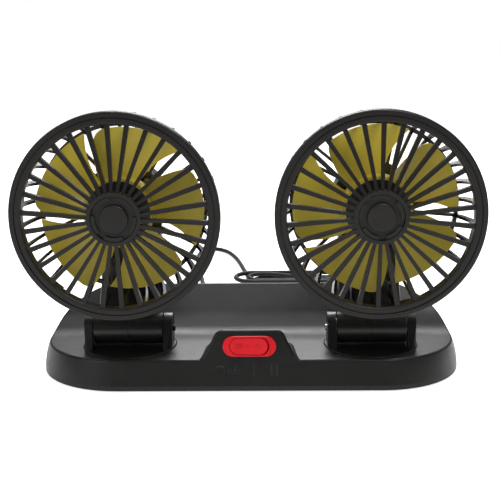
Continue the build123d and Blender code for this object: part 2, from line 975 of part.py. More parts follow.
def make_front_guard(head):
    """Ring and hub ring joined by thin spokes, with clips behind the ring."""
    turn = top_angle + guard_turn[head]
    rib_middle = (rim_inner + rim_outer) * half
    rib_shift = rib_sweep - degrees(asin(plate_radius * sin(radians(rib_sweep)) / rib_middle))
    clip_turn = turn + rib_turn + rib_shift + 360 * half / spoke_count
    with BuildPart() as spokes:
        with BuildSketch(fan_plane(head, guard_rear)):
            with PolarLocations(0, spoke_count, start_angle=turn):
                with Locations(((spoke_inner + spoke_outer) * half, 0)):
                    Trapezoid(
                        spoke_outer_width,
                        spoke_outer - spoke_inner,
                        degrees(atan2(spoke_outer - spoke_inner, (spoke_outer_width - spoke_hub_width) * half)),
                        rotation=top_angle,
                    )
        extrude(amount=spoke_hub_front + overrun - guard_rear)
        with BuildSketch(profile_plane(head)):
            with BuildLine():
                face = SagittaArc(
                    (spoke_outer + overrun, spoke_ring_front), (spoke_inner - overrun, spoke_hub_front), spoke_dome
                )
                back = SagittaArc(
                    (spoke_outer + overrun, spoke_ring_front - spoke_depth),
                    (spoke_inner - overrun, spoke_hub_front - spoke_depth),
                    spoke_dome,
                )
                Line(face @ 0, back @ 0)
                Line(face @ 1, back @ 1)
            make_face()
        revolve(axis=fan_axis(head), mode=Mode.INTERSECT)
    with BuildPart() as front_guard:
        with BuildSketch(profile_plane(head)):
            with BuildLine():
                corner = FilletPolyline(
                    (guard_ring_inner, guard_rear),
                    (guard_ring_inner, guard_front),
                    (cage_radius, guard_front),
                    (cage_radius, guard_rear),
                    radius=guard_edge,
                )
                Line(corner @ 0, corner @ 1)
            make_face()
            with Locations((guard_groove_radius, guard_front)):
                Rectangle(guard_groove_width, 2 * guard_groove_depth, mode=Mode.SUBTRACT)
        revolve(axis=fan_axis(head))
        with BuildSketch(profile_plane(head)):
            with BuildLine():
                Polyline(
                    (hub_ring_inner, hub_ring_front),
                    (hub_ring_radius, hub_ring_front),
                    (hub_ring_radius, hub_ring_front - hub_ring_depth),
                    (hub_lip_inner, hub_ring_front - hub_ring_depth),
                    (hub_lip_inner, hub_ring_front - hub_ring_depth + hub_lip_depth),
                    (hub_ring_inner, hub_ring_front - hub_ring_depth + hub_lip_depth),
                    close=True,
                )
            make_face()
        revolve(axis=fan_axis(head))
        add(spokes.part)
        with BuildSketch(fan_plane(head, clip_end)):
            with PolarLocations(clip_outer - clip_thickness * half, clip_count, start_angle=clip_turn):
                Rectangle(clip_thickness, clip_width)
        extrude(amount=guard_rear + overrun - clip_end)
        with BuildSketch(fan_plane(head, clip_end)):
            with PolarLocations(clip_outer + clip_hook * half, clip_count, start_angle=clip_turn):
                Rectangle(clip_hook + clip_thickness, clip_width)
        extrude(amount=clip_hook)
    save(front_guard.part, head + "_front_guard")


def make_hub_cap(head):
    """Round cap with a notched collar and a raised button."""
    with BuildPart() as hub_cap:
        with BuildSketch(fan_plane(head, cap_front - cap_depth)):
            Circle(cap_radius)
        extrude(amount=cap_depth)
        with BuildSketch(fan_plane(head, cap_front - cap_depth + cap_floor_depth)):
            Circle(cap_radius - cap_collar_width)
        extrude(amount=cap_depth, mode=Mode.SUBTRACT)
        with BuildSketch(fan_plane(head, cap_front - cap_depth + cap_floor_depth)):
            with PolarLocations(cap_radius, cap_notch_count, start_angle=cap_turn[head]):
                Rectangle(2 * (cap_collar_width + overrun), cap_notch_width)
        extrude(amount=cap_depth, mode=Mode.SUBTRACT)
        with BuildSketch(fan_plane(head, cap_front - cap_depth)):
            Circle(cap_button_radius)
        extrude(amount=cap_button_front - cap_front + cap_depth)
        fillet(hub_cap.edges().group_by(Axis.Y)[0], cap_button_fillet)
    save(hub_cap.part, head + "_hub_cap")


def rib_planes(head):
    """Planes of the rear guard's ribs, each turned a little off its radius."""
    shift = plate_radius * sin(radians(rib_sweep))
    planes = []
    for number in range(spoke_count):
        way = radians(top_angle + guard_turn[head] + rib_turn + rib_sweep + number * 360 / spoke_count)
        planes.append(
            Plane(
                origin=(head_x(head) + shift * sin(way), 0, fan_height - shift * cos(way)),
                x_dir=(cos(way), 0, sin(way)),
                z_dir=(sin(way), 0, -cos(way)),
            )
        )
    return planes


def make_rear_guard(head):
    """Cage of bent ribs between a rim and a centre plate that takes the motor's boss."""
    with BuildPart() as rear_guard:
        with BuildSketch(*rib_planes(head)):
            with BuildLine():
                side = ThreePointArc(
                    (rib_side_radius, rim_front - rim_depth * half),
                    (rib_belly_radius, rib_belly_front),
                    (rib_shoulder_radius, rib_shoulder_front),
                )
                turn = TangentArc(side @ 1, (rib_back_radius, rib_back_front), tangent=side % 1)
                back = Line(turn @ 1, (rib_root_radius, rib_root_front))
                root = Line(back @ 1, (rib_root_radius, rib_root_front + rib_back_depth))
                inner_back = Line(root @ 1, (rib_back_radius, rib_back_front + rib_back_depth))
                inner_side = ThreePointArc(
                    (rib_side_radius - rib_side_depth, rim_front - rim_depth * half),
                    (rib_belly_radius - rib_side_depth, rib_belly_front),
                    (rib_shoulder_radius - rib_side_depth, rib_shoulder_front + rib_back_depth * half),
                )
                TangentArc(inner_side @ 1, inner_back @ 1, tangent=inner_side % 1)
                Line(side @ 0, inner_side @ 0)
            make_face()
        extrude(amount=rib_thickness * half, both=True)
        with BuildSketch(fan_plane(head, rim_front - rim_depth)):
            Circle(rim_outer)
            Circle(rim_inner, mode=Mode.SUBTRACT)
        extrude(amount=rim_depth)
        with BuildSketch(fan_plane(head, back_ring_front - back_ring_depth)):
            Circle(back_ring_radius + back_ring_width * half)
            Circle(back_ring_radius - back_ring_width * half, mode=Mode.SUBTRACT)
        extrude(amount=back_ring_depth)
        with BuildSketch(fan_plane(head, plate_rear)):
            Circle(plate_radius)
        extrude(amount=plate_front - plate_rear)
        with BuildSketch(fan_plane(head, plate_front)):
            Circle(plate_radius)
            Circle(plate_radius - plate_lip_width, mode=Mode.SUBTRACT)
        extrude(amount=plate_lip_height)
        with BuildSketch(fan_plane(head, plate_rear)):
            Circle(motor_boss_radius + pocket_gap)
            with PolarLocations(guard_screw_circle, guard_screw_count, start_angle=guard_screw_turn):
                Circle(guard_screw_radius + fit_gap)
        extrude(amount=plate_front - plate_rear, mode=Mode.SUBTRACT)
    save(rear_guard.part, head + "_rear_guard")


def make_guard_screws(head):
    """Four screws through the rear guard's plate into the motor housing."""
    with BuildPart() as guard_screws:
        with BuildSketch(fan_plane(head, plate_front)):
            with PolarLocations(guard_screw_circle, guard_screw_count, start_angle=guard_screw_turn):
                Circle(guard_screw_head_radius)
        extrude(amount=guard_screw_head_height)
        with BuildSketch(fan_plane(head, plate_front)):
            with PolarLocations(guard_screw_circle, guard_screw_count, start_angle=guard_screw_turn):
                Circle(guard_screw_radius)
        extrude(amount=-guard_screw_length)
    save(guard_screws.part, head + "_guard_screws")


def make_motor(head):
    """Round motor with a front boss, a rear bearing and two contact tabs."""
    with BuildPart() as motor:
        with BuildSketch(fan_plane(head, motor_front - motor_length)):
            Circle(motor_radius)
        extrude(amount=motor_length)
        fillet(motor.edges().filter_by(GeomType.CIRCLE), motor_edge)
        with BuildSketch(fan_plane(head, motor_front)):
            Circle(motor_boss_radius)
        extrude(amount=motor_boss_length)
        with BuildSketch(fan_plane(head, motor_front - motor_length)):
            Circle(motor_end_radius)
        extrude(amount=-motor_end_length)
        with BuildSketch(fan_plane(head, motor_front - motor_length)):
            with Locations((-tab_place, 0), (tab_place, 0)):
                Rectangle(tab_width, tab_thickness)
        extrude(amount=-tab_height)
        with BuildSketch(fan_plane(head, motor_front - motor_length)):
            Circle(shaft_radius + running_gap)
        extrude(amount=motor_length + motor_boss_length, mode=Mode.SUBTRACT)
    save(motor.part, head + "_motor")
    with BuildPart() as shaft:
        with BuildSketch(fan_plane(head, shaft_rear)):
            Circle(shaft_radius)
        extrude(amount=shaft_front - shaft_rear)
        chamfer(shaft.edges().filter_by(GeomType.CIRCLE), shaft_radius * shaft_chamfer_share)
    save(shaft.part, head + "_motor_shaft")


def make_rotor_hub(head):
    """Cup with a domed front that sits on the motor shaft."""
    edge = rotor_front - rotor_hub_dome
    with BuildPart() as rotor_hub:
        with BuildSketch(profile_plane(head)):
            with BuildLine():
                dome = ThreePointArc(
                    (0, rotor_front),
                    (rotor_hub_radius * half, rotor_front - rotor_hub_dome * half * half),
                    (rotor_hub_radius, edge),
                )
                Polyline(
                    dome @ 1,
                    (rotor_hub_radius, rotor_rear),
                    (rotor_hub_radius - rotor_hub_wall, rotor_rear),
                    (rotor_hub_radius - rotor_hub_wall, edge - rotor_hub_wall),
                    (rotor_boss_radius, edge - rotor_hub_wall),
                    (rotor_boss_radius, rotor_rear + rotor_boss_inset),
                    (shaft_radius + fit_gap, rotor_rear + rotor_boss_inset),
                    (shaft_radius + fit_gap, shaft_front + fit_gap),
                    (0, shaft_front + fit_gap),
                    dome @ 0,
                )
            make_face()
        revolve(axis=fan_axis(head))
    save(rotor_hub.part, head + "_rotor_hub")


def make_blade():
    """One twisted, cambered blade about the local Z axis, which points forward."""
    sections = (
        (blade_root_station, blade_root_middle, blade_root_chord, blade_root_pitch),
        (blade_middle_station, blade_middle_middle, blade_middle_chord, blade_middle_pitch),
        (rotor_tip_radius + overrun, blade_tip_middle, blade_tip_chord, blade_tip_pitch),
    )
    inner = rotor_hub_radius + fit_gap + sleeve_thickness * half
    with BuildPart() as blade:
        for station, angle, chord, pitch in sections:
            way = radians(angle)
            twist = radians(pitch)
            plane = Plane(
                origin=(station * cos(way), station * sin(way), 0),
                x_dir=(-sin(way) * cos(twist), cos(way) * cos(twist), sin(twist)),
                z_dir=(cos(way), sin(way), 0),
            )
            with BuildSketch(plane):
                with BuildLine():
                    rear = ThreePointArc(
                        (-chord * half, 0), (0, -chord * blade_camber_share), (chord * half, 0)
                    )
                    front = ThreePointArc(
                        (-chord * half, blade_thickness),
                        (0, blade_thickness - chord * blade_camber_share),
                        (chord * half, blade_thickness),
                    )
                    Line(rear @ 0, front @ 0)
                    Line(rear @ 1, front @ 1)
                make_face()
        loft()
        with BuildSketch(Plane.XY.offset(-rotor_hub_depth)) as planform:
            with BuildLine():
                root = ThreePointArc(
                    polar(inner, blade_root_trail_angle),
                    polar(inner, blade_root_middle),
                    polar(inner, blade_root_lead_angle),
                )
                lead = ThreePointArc(
                    root @ 1,
                    polar(blade_middle_station, blade_lead_waist_angle),
                    polar(rotor_tip_radius, blade_tip_lead_angle),
                )
                tip = ThreePointArc(
                    lead @ 1,
                    polar(rotor_tip_radius, blade_tip_middle),
                    polar(rotor_tip_radius, blade_tip_trail_angle),
                )
                ThreePointArc(
                    tip @ 1, polar(blade_middle_station, blade_trail_waist_angle), root @ 0
                )
            make_face()
            corner = polar(rotor_tip_radius, blade_tip_trail_angle)
            fillet(planform.vertices().sort_by_distance(corner)[0], blade_corner)
        extrude(amount=2 * rotor_hub_depth, mode=Mode.INTERSECT)
    return blade.part


def make_rotor_blades(head, blade):
    """Sleeve with five blades, pushed over the rotor's hub."""
    with BuildPart(fan_plane(head, rotor_middle)) as rotor_blades:
        with BuildSketch(fan_plane(head, rotor_rear)):
            Circle(rotor_hub_radius + fit_gap + sleeve_thickness)
            Circle(rotor_hub_radius + fit_gap, mode=Mode.SUBTRACT)
        extrude(amount=rotor_hub_depth - rotor_hub_dome)
        with PolarLocations(0, blade_count, start_angle=rotor_turn[head]):
            add(blade)
    save(rotor_blades.part, head + "_rotor_blades")


def make_switch():
    """Rocker switch: bezel with a sleeve, rocker, and the body with its contacts behind."""
    with BuildPart() as bezel:
        with BuildSketch(switch_plane()):
            SlotOverall(2 * bezel_half_width, 2 * bezel_half_height)
        extrude(amount=bezel_proud)
        chamfer(bezel.faces().sort_by(Axis.Y)[0].edges(), bezel_edge)
        with BuildSketch(switch_plane()):
            SlotOverall(2 * (opening_half_width + sleeve_wall), 2 * (opening_half_height + sleeve_wall))
        extrude(amount=-sleeve_depth)
        with BuildSketch(switch_plane(bezel_proud + overrun)):
            SlotOverall(2 * opening_half_width, 2 * opening_half_height)
        extrude(amount=-(bezel_proud + overrun + sleeve_depth), mode=Mode.SUBTRACT)
    save(bezel.part, "switch_bezel")
    pivot = switch_plane(-rocker_pivot_depth)
    top = rocker_proud + rocker_pivot_depth
    bottom = rocker_pivot_depth - rocker_depth
    tilt = radians(rocker_tilt)
    tilted = Plane(
        origin=pivot.origin,
        x_dir=pivot.x_dir * cos(tilt) + pivot.z_dir * sin(tilt),
        z_dir=pivot.z_dir * cos(tilt) - pivot.x_dir * sin(tilt),
    )
    with BuildPart() as rocker:
        with BuildSketch(Plane(origin=tilted.origin, x_dir=tilted.x_dir, z_dir=-tilted.y_dir)):
            with BuildLine():
                press = SagittaArc((-rocker_half_width, top), (rocker_half_width, top), -rocker_dip)
                Polyline(
                    press @ 1,
                    (rocker_foot_half_width, bottom),
                    (-rocker_foot_half_width, bottom),
                    press @ 0,
                )
            make_face()
        extrude(amount=rocker_half_height, both=True)
        with BuildSketch(tilted.offset(bottom)):
            SlotOverall(2 * rocker_half_width, 2 * rocker_half_height)
        extrude(amount=top - bottom + overrun, mode=Mode.INTERSECT)
        with BuildSketch(Plane(origin=pivot.origin, x_dir=pivot.x_dir, z_dir=pivot.y_dir)):
            Circle(rocker_pin_radius)
        extrude(amount=opening_half_height - pocket_gap, both=True)
    save(rocker.part, "switch_rocker")
    with BuildPart() as body:
        with BuildSketch(switch_plane(-switch_body_front)):
            SlotOverall(switch_body_width, switch_body_height)
        extrude(amount=-switch_body_depth)
        with BuildSketch(switch_plane(-switch_body_front - switch_body_depth)):
            with GridLocations(switch_tab_pitch, 0, 3, 1):
                Rectangle(tab_thickness, tab_width)
        extrude(amount=-tab_height)
    save(body.part, "switch_body")


def make_circuit_board():
    """Speed board on the cover's posts, with a chip, a coil and two capacitors."""
    top = board_height + board_thickness
    centre = board_front + board_depth * half
    with BuildPart() as circuit_board:
        with BuildSketch(Plane.XY.offset(board_height)):
            with Locations((0, centre)):
                Rectangle(board_width, board_depth)
        extrude(amount=board_thickness)
        with BuildSketch(Plane.XY.offset(top)):
            with Locations((0, centre)):
                Rectangle(chip_width, chip_depth)
        extrude(amount=chip_height)
        with BuildSketch(Plane.XY.offset(top)):
            with Locations((-board_width / 4, centre)):
                Circle(coil_radius)
        extrude(amount=coil_height)
        with BuildSketch(Plane.XY.offset(top)):
            with Locations((board_width / 4, centre - board_depth / 4), (board_width / 4, centre + board_depth / 4)):
                Circle(can_radius)
        extrude(amount=can_height)
    save(circuit_board.part, "circuit_board")


def make_strain_relief():
    """Tapered sleeve in the rear wall that the cord comes out of."""
    with BuildPart() as strain_relief:
        with BuildSketch(Plane.XY.offset(relief_height)):
            with BuildLine():
                Polyline(
                    (relief_x, relief_face - relief_wall_depth - relief_inner_length),
                    (relief_x + relief_neck_radius, relief_face - relief_wall_depth - relief_inner_length),
                    (relief_x + relief_neck_radius, relief_face),
                    (relief_x + relief_flange_radius, relief_face),
                    (relief_x + relief_flange_radius, relief_face + relief_flange_thickness),
                    (relief_x + relief_tail_root, relief_face + relief_flange_thickness),
                    (relief_x + relief_tail_tip, relief_end),
                    (relief_x, relief_end),
                    close=True,
                )
            make_face()
        revolve(axis=Axis((relief_x, 0, relief_height), (0, 1, 0)))
    save(strain_relief.part, "strain_relief")


def make_power_cord():
    """Cord from the strain relief, round its loop on the floor and up to the hank."""
    points = [Vector(*point) for point in cord_route]
    radii = []
    for before, point, after in zip(points, points[1:], points[2:]):
        run = min((point - before).length, (after - point).length)
        turn = (point - before).get_angle(after - point)
        radii.append(cord_bend_share * run / tan(radians(turn * half)))
    with BuildPart() as power_cord:
        with BuildLine() as route:
            FilletPolyline(*points, radius=radii)
        path = route.wires()[0]
        with BuildSketch(Plane(origin=path @ 0, z_dir=path % 0)):
            Circle(cord_diameter * half)
        sweep(path=path)
    save(power_cord.part, "power_cord")
    print("cord radii", [round(radius) for radius in radii])
    print("cord length", round(path.length, 1), "volume share", power_cord.part.volume / cord_volume(path.length))
    return path.length


def cord_volume(length):
    """Volume of a straight cord of this length."""
    with BuildPart(mode=Mode.PRIVATE) as straight:
        Cylinder(cord_diameter * half, length)
    return straight.part.volume


def tangent_step(start, end, way):
    """Smooth step between two parallel runs, as two arcs that meet halfway."""
    first = TangentArc(start, (start + end) * half, tangent=way)
    TangentArc(first @ 1, end, tangent=first % 1)


def make_cord_hank():
    """Flat hank: long loops that spiral in, climb a layer and spiral out, then drop to the plug."""
    inward = [
        hank_turn_radius - number * hank_pitch * half for number in range(1, 2 * hank_layer_loops)
    ]
    lift = Vector(0, 0, hank_layer)
    with BuildPart() as cord_hank:
        with BuildLine() as route:
            side = Vector(hank_left - hank_turn_radius, hank_middle, cord_rest)
            place = Vector(hank_left, hank_middle - hank_turn_radius, cord_rest)
            Line(Vector(*cord_route[-1]), side)
            TangentArc(side, place, tangent=(0, -1, 0))
            way = 1
            for number, radius in enumerate(inward + inward[::-1]):
                end_x = (hank_right if way > 0 else hank_left) + hank_reaches[number]
                run_end = Vector(end_x, place.Y, place.Z)
                if number == len(inward):
                    run_end += lift
                    tangent_step(place, run_end, (way, 0, 0))
                else:
                    Line(place, run_end)
                place = run_end + Vector(0, 2 * way * radius, 0)
                ThreePointArc(run_end, run_end + Vector(way * radius, way * radius, 0), place)
                way = -way
            run_end = Vector(hank_right, place.Y, place.Z)
            Line(place, run_end)
            side = run_end + Vector(hank_turn_radius, hank_turn_radius, 0)
            TangentArc(run_end, side, tangent=(1, 0, 0))
            drop_start = side + Vector(0, cord_diameter, 0)
            Line(side, drop_start)
            drop_end = Vector(side.X, drop_start.Y + hank_end_drop, plug_height)
            tangent_step(drop_start, drop_end, (0, 1, 0))
            Line(drop_end, drop_end + Vector(0, cord_diameter, 0))
        path = route.wires()[0]
        with BuildSketch(Plane(origin=path @ 0, z_dir=path % 0)):
            Circle(cord_diameter * half)
        sweep(path=path)
    save(cord_hank.part, "cord_hank")
    print("hank length", round(path.length, 1), "volume share", cord_hank.part.volume / cord_volume(path.length))
    print("hank least gap", round(least_gap(path), 2))
    return drop_end + Vector(0, cord_diameter, 0)


def least_gap(path):
    """Least distance between the surfaces of turns that lie beside or on each other."""
    step = path.length / hank_gap_samples
    places = [path @ (number / hank_gap_samples) for number in range(hank_gap_samples + 1)]
    apart = int(hank_turn_radius / step)
    least = min(
        (places[one] - places[other]).length
        for one in range(len(places))
        for other in range(one + apart, len(places))
    )
    return least - cord_diameter


def make_usb_plug(start):
    """Plug that lies on the floor: moulded body with its sleeve and tongue, and a metal shell."""
    body_start = start.Y + plug_relief_length
    face = body_start + plug_body_length
    with BuildPart() as usb_plug:
        with BuildSketch(Plane.XY.offset(plug_height)):
            with BuildLine():
                Polyline(
                    (start.X, start.Y),
                    (start.X + plug_relief_tip, start.Y),
                    (start.X + plug_relief_root, body_start),
                    (start.X, body_start),
                    close=True,
                )
            make_face()
        revolve(axis=Axis((start.X, 0, plug_height), (0, 1, 0)))
        with BuildSketch(Plane.XZ.offset(-body_start)):
            with Locations((start.X, plug_height)):
                RectangleRounded(plug_body_width, plug_body_height, plug_body_corner)
        extrude(amount=-plug_body_length)
        with BuildSketch(Plane.XZ.offset(-face)):
            with Locations((start.X, plug_height - plug_shell_height * half + plug_shell_wall + plug_tongue_gap)):
                Rectangle(
                    plug_shell_width - 2 * (plug_shell_wall + plug_tongue_gap),
                    plug_tongue_height,
                    align=(Align.CENTER, Align.MIN),
                )
        extrude(amount=plug_tongue_inset - plug_shell_length)
    save(usb_plug.part, "usb_plug")
    with BuildPart() as usb_shell:
        with BuildSketch(Plane.XZ.offset(-face)):
            with Locations((start.X, plug_height)):
                Rectangle(plug_shell_width, plug_shell_height)
                Rectangle(
                    plug_shell_width - 2 * plug_shell_wall,
                    plug_shell_height - 2 * plug_shell_wall,
                    mode=Mode.SUBTRACT,
                )
        extrude(amount=-plug_shell_length)
        with BuildSketch(Plane.XY.offset(plug_height)):
            with Locations((start.X, face + plug_window_place + plug_window)):
                with GridLocations(2 * plug_window, 0, 2, 1):
                    Rectangle(plug_window, plug_window)
        extrude(amount=plug_shell_height, mode=Mode.SUBTRACT)
    save(usb_shell.part, "usb_shell")


def make_head(head, blade):
    """Every piece of one fan head and of the turntable under it."""
    make_turntable(head)
    make_turntable_retainer(head)
    make_tilt_hardware(head)
    make_neck(head)
    make_motor(head)
    make_rear_guard(head)
    make_guard_screws(head)
    make_rotor_hub(head)
    make_rotor_blades(head, blade)
    make_front_guard(head)
    make_hub_cap(head)


def main():
    """Makes every piece."""
    os.makedirs("parts", exist_ok=True)
    make_base_shell()
    make_bottom_cover()
    make_non_slip_mat()
    make_base_screws()
    make_switch()
    make_circuit_board()
    blade = make_blade()
    for head in heads:
        make_head(head, blade)
    make_strain_relief()
    make_power_cord()
    make_usb_plug(make_cord_hank())


if __name__ == "__main__":
    main()
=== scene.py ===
"""Looks of a dual head car fan: camera, light, cord, finishes and the marks on its switch."""

from math import cos, pi, sin

import bpy
from bpy.props import FloatProperty, FloatVectorProperty, PointerProperty
from mathutils import Matrix, Vector


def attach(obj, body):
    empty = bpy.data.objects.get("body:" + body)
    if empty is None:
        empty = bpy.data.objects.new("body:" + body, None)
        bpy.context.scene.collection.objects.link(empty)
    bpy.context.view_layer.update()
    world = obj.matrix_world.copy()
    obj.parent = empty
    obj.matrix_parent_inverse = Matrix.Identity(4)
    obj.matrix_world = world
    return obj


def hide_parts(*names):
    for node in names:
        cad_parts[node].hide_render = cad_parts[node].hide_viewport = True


bl_info = {
    "name": "Dual head car fan",
    "version": (1, 0, 0),
    "blender": (4, 5, 0),
    "location": "View3D > Sidebar > Car fan",
    "description": "Dresses the packed fan with its finishes, cord and switch marks",
    "category": "Object",
}

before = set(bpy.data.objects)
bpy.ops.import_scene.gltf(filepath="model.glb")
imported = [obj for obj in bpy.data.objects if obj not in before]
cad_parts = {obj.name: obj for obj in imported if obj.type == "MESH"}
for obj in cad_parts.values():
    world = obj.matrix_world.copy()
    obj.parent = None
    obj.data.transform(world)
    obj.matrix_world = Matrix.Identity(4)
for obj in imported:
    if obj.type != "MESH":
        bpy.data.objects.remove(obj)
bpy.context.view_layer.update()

MM = 0.001
SIDES = ("left", "right")
FAN_HEIGHT = 117.3

# Camera, found by fitting the two guard rings and the base's outline
CAMERA_PLACE = (11.53, -647.73, 233.31)
CAMERA_PITCH = 0.224
CAMERA_YAW = 0.017
CAMERA_ROLL = -0.010
CAMERA_REACH = 20.0
LENS_MM = 72.0
SENSOR_MM = 36.0

# Lamps: name, place and size in metres, share of the key strength
LAMPS = (
    ("key", (0.45, -0.55, 1.2), 0.5, 1.15),
    ("fill", (-0.8, -0.75, 0.55), 0.6, 0.35),
    ("top", (-0.1, 0.05, 1.3), 0.8, 0.6),
    ("back", (0.0, 0.95, 0.8), 0.6, 1.2),
)

# Floor, which glows more to the camera than in gloss
FLOOR_SIZE = 12.0
FLOOR_DROP = 0.0002
FLOOR_COLOUR = (0.86, 0.86, 0.86)
FLOOR_ROUGHNESS = 0.8
FLOOR_GLOW_TO_CAMERA = 0.68
FLOOR_GLOW_IN_GLOSS = 0.22

# Surroundings: as light, and in gloss by how far back and how far up the ray goes (from, to)
WHITE = (1.0, 1.0, 1.0)
SURROUNDINGS_LIGHT = 0.42
BACK_SPAN = (-0.3, 0.5)
BACK_GLOSS = (0.06, 1.0)
UP_SPAN = (0.18, 0.42)
UP_GLOSS = (0.2, 0.45)

# Cord route on the floor, the same points as the solid's
CORD_ROUTE = (
    (-34.0, 89.8, 9.0),
    (-34.0, 102.0, 9.0),
    (-35.0, 124.0, 3.4),
    (-38.0, 155.0, 2.05),
    (-42.0, 195.0, 2.05),
    (-47.5, 240.0, 2.05),
    (-53.0, 284.0, 2.05),
    (-57.0, 322.0, 2.05),
    (-58.0, 348.0, 2.05),
    (-53.5, 368.0, 2.05),
    (-42.5, 376.5, 2.05),
    (-28.5, 362.0, 2.05),
    (-20.0, 336.0, 2.05),
    (-14.0, 307.0, 2.05),
    (-10.0, 280.0, 2.05),
)
CORD_DIAMETER = 4.0
CORD_REST = 2.05
CORD_ORDER = 3
CORD_STEPS = 6
CORD_ROUNDNESS = 6
HANK_LEFT = 13.5
HANK_RIGHT = 68.0
HANK_MIDDLE = 238.0
HANK_TURN_RADIUS = 19.0
HANK_PITCH = 4.7
HANK_LAYER = 4.6
HANK_LAYER_LOOPS = 2
HANK_REACHES = (6.0, 0.0, -6.0, -6.0, 0.0, -13.5)
HANK_END_HIGH = 5.0
HANK_END_LOW = 22.0
HANK_END_DROP = 30.0
PLUG_HEIGHT = 3.8
TURN_STEPS = 6

# Leaning front of the base, with the rocker's skirt in the bezel
SWITCH_PLACE = (0.0, -31.8, 29.2)
FRONT_LEAN = 0.2261
ROCKER_TILT = 0.1222
ROCKER_PIVOT_DEPTH = 2.0
SKIRT_RADIUS = 12.7
SKIRT_HALF_HEIGHT = 5.4
SKIRT_LEVELS = (-1.5, 0.0, 1.2, 2.2, 3.0)
SKIRT_SIDES = 64

# Marks on the rocker: across, up, width and, for the ring, height
MARK_STROKE = 0.7
MARK_RING = (-6.6, 0.4, 4.4, 3.1)
MARK_BARS = ((-0.6, 0.4, 3.4), (5.2, 1.4, 2.5), (5.2, -0.5, 2.5))
MARK_STAND_OFF = 9.0
MARK_REACH = 27.0
RING_SIDES = 48
BAR_CUTS = 7

# Words below the rocker: word, across, width
LEGEND_WORDS = (("OFF", -14.4, 16.4), ("I", 2.8, 1.1), ("II", 16.0, 4.9))
LEGEND_RISE = 0.4
LEGEND_UP = -15.9
LEGEND_HEIGHT = 6.9

# Plastics: roughness, grain and its height in millimetres, spread of the tone, gloss
PLAIN_GRAIN = 0.35
PLAIN_GRAIN_HEIGHT = 0.02
PLAIN_SPREAD = 0.15
PLAIN_GLOSS = 0.5
SHELL_FINISH = (0.36, 0.4, 0.03, 0.15, 0.32)
MAT_FINISH = (0.8, 0.8, 0.08)
BOARD_FINISH = (0.35, 0.3, 0.01)
SWITCH_BODY_FINISH = (0.5,)
PLUG_FINISH = (0.45,)
NECK_FINISH = (0.34, 0.35, 0.015, 0.15, 0.4)
GUARD_FINISH = (0.34, 0.3, 0.015, 0.15, 0.22)
REAR_GUARD_FINISH = (0.26, 0.3, 0.015, 0.15, 0.7)
HUB_FINISH = (0.3,)
BLADE_FINISH = (0.33, 0.5, 0.01, 0.05)
SWITCH_FINISH = (0.24, 0.6, 0.006, 0.05)
MARK_FINISH = (0.35, 0.6, 0.006, 0.05)
LEGEND_FINISH = (0.28,)

# Colours that a user would rarely change
MAT_COLOUR = (0.02, 0.02, 0.02)
BOARD_COLOUR = (0.015, 0.10, 0.04)
SWITCH_BODY_COLOUR = (0.015, 0.015, 0.015)
PLUG_COLOUR = (0.014, 0.0135, 0.0135)
JACKET_COLOUR = (0.008, 0.0077, 0.0075)
HUB_COLOUR = (0.012, 0.012, 0.012)
MARK_COLOUR = (0.34, 0.004, 0.009)
LEGEND_COLOUR = (0.016, 0.0155, 0.015)

# Metals: colour and roughness
PLUG_STEEL = ((0.62, 0.62, 0.63), 0.22)
ZINC_STEEL = ((0.52, 0.52, 0.54), 0.32)
BLACKENED_STEEL = ((0.03, 0.03, 0.032), 0.38)
MOTOR_STEEL = ((0.55, 0.55, 0.56), 0.3)
EVEN_LINES = (1.0, 1.0, 1.0)
ROUND_LINES = (1.0, 8.0, 1.0)


class FanLooks(bpy.types.PropertyGroup):
    """Sizes and colours that a user would change."""

    base_colour: FloatVectorProperty(
        name="Base", description="Colour of the base's plastic",
        subtype="COLOR", size=3, default=(0.0100, 0.0094, 0.0088))
    neck_colour: FloatVectorProperty(
        name="Neck", description="Colour of the turntables and necks",
        subtype="COLOR", size=3, default=(0.0085, 0.0080, 0.0078))
    guard_colour: FloatVectorProperty(
        name="Guard", description="Colour of the guards",
        subtype="COLOR", size=3, default=(0.0120, 0.0110, 0.0102))
    blade_colour: FloatVectorProperty(
        name="Blade", description="Colour of the rotor blades",
        subtype="COLOR", size=3, default=(0.57, 0.455, 0.05))
    switch_colour: FloatVectorProperty(
        name="Switch", description="Colour of the rocker and its bezel",
        subtype="COLOR", size=3, default=(0.61, 0.0095, 0.0175))
    mark_height: FloatProperty(
        name="Mark height", description="How far the switch marks stand out",
        subtype="DISTANCE", default=0.00015)
    key_strength: FloatProperty(
        name="Key light", description="Power of the large soft light in watts", default=9.0)


def looks():
    """The properties on the scene."""
    return bpy.context.scene.car_fan_looks


def new_material(name):
    """Material with an empty node tree but for its shader and output."""
    material = bpy.data.materials.new(name)
    material.use_nodes = True
    nodes = material.node_tree.nodes
    return material, nodes, material.node_tree.links, nodes["Principled BSDF"]


def object_position(nodes, links, scale):
    """Mapping node that gives the object's own place, scaled in each direction."""
    place = nodes.new("ShaderNodeTexCoord")
    mapping = nodes.new("ShaderNodeMapping")
    mapping.inputs["Scale"].default_value = scale
    links.new(place.outputs["Object"], mapping.inputs["Vector"])
    return mapping.outputs["Vector"]


def noise(nodes, links, vector, size, detail=3.0, roughness=0.55):
    """Noise whose features are about this many millimetres."""
    texture = nodes.new("ShaderNodeTexNoise")
    texture.inputs["Scale"].default_value = 1.0 / (size * MM)
    texture.inputs["Detail"].default_value = detail
    texture.inputs["Roughness"].default_value = roughness
    links.new(vector, texture.inputs["Vector"])
    return texture.outputs["Fac"]


def ramp(nodes, links, factor, low, high, start=0.35, end=0.65):
    """Maps a factor to a range."""
    step = nodes.new("ShaderNodeMapRange")
    step.inputs["From Min"].default_value = start
    step.inputs["From Max"].default_value = end
    step.inputs["To Min"].default_value = low
    step.inputs["To Max"].default_value = high
    links.new(factor, step.inputs["Value"])
    return step.outputs["Result"]


